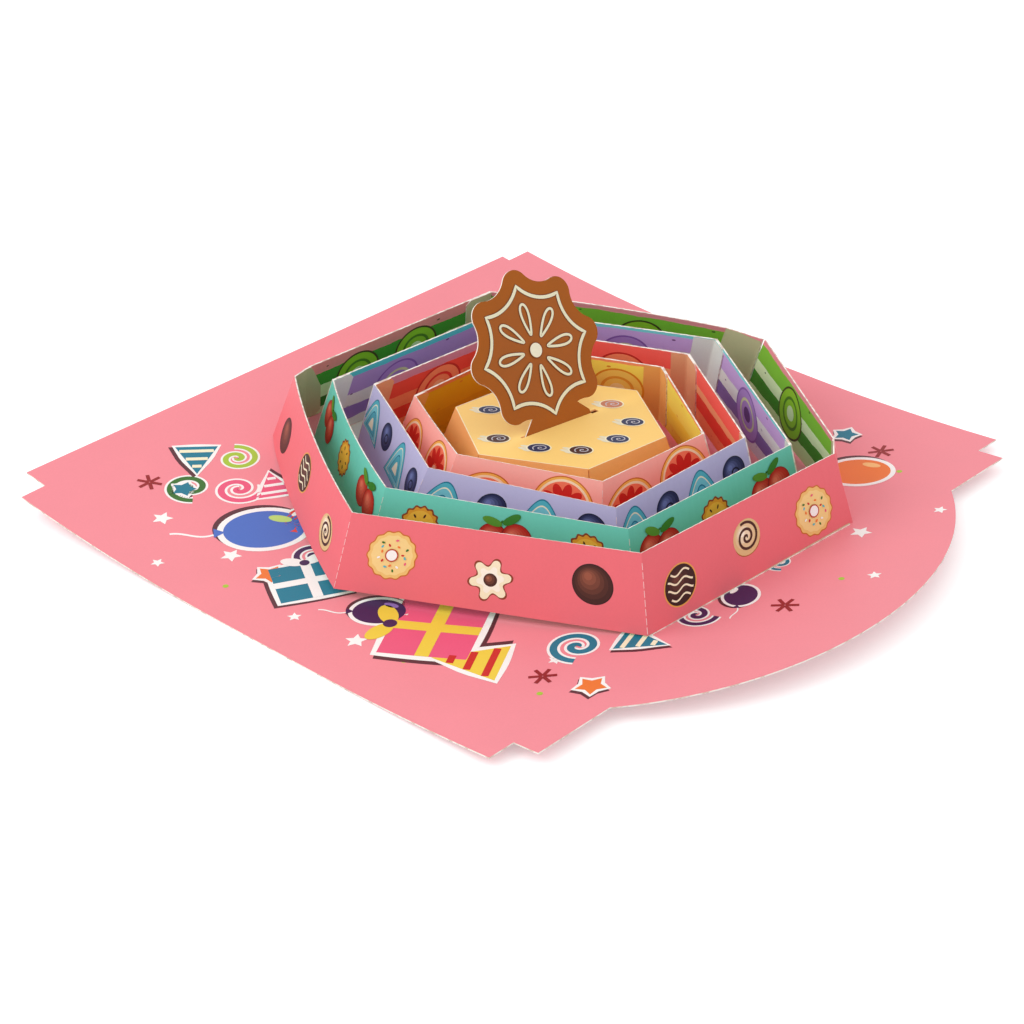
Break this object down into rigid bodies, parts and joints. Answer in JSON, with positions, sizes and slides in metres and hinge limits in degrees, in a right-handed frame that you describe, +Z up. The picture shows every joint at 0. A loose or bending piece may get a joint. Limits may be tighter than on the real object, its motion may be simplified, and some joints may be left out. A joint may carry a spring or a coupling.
{
  "type": "pop up card",
  "caption": "Pop-up greeting card opened flat: nested hexagonal card collars form a tiered cake round a box, with a cookie cut-out standing on top.",
  "frame": {"origin": "on the spine fold at the middle of its length, on the underside of the base sheet", "axes": "+X along the spine fold, +Y across the sheet towards the straight-edged back panel, +Z up"},
  "size_m": [0.2, 0.2274, 0.0584],
  "materials": {
    "base_card": "printed pink card, satin",
    "box_card": "printed pale orange card, satin",
    "cookie_card": "printed brown card, satin",
    "pink_card": "printed rose card, satin",
    "teal_card": "printed teal card, satin",
    "lavender_card": "printed lavender card, satin",
    "salmon_card": "printed salmon card, satin"
  },
  "bodies": {
    "root": {"base_sheet": "base_card", "cake_top_box": "box_card", "cookie_topper": "cookie_card", "pink_front_strip": "pink_card", "pink_right_wall": "pink_card", "pink_back_strip": "pink_card", "pink_left_wall": "pink_card", "teal_front_strip": "teal_card", "teal_right_wall": "teal_card", "teal_back_strip": "teal_card", "teal_left_wall": "teal_card", "lavender_front_strip": "lavender_card", "lavender_right_wall": "lavender_card", "lavender_back_strip": "lavender_card", "lavender_left_wall": "lavender_card", "salmon_front_strip": "salmon_card", "salmon_right_wall": "salmon_card", "salmon_back_strip": "salmon_card", "salmon_left_wall": "salmon_card"}
  },
  "joints": []
}
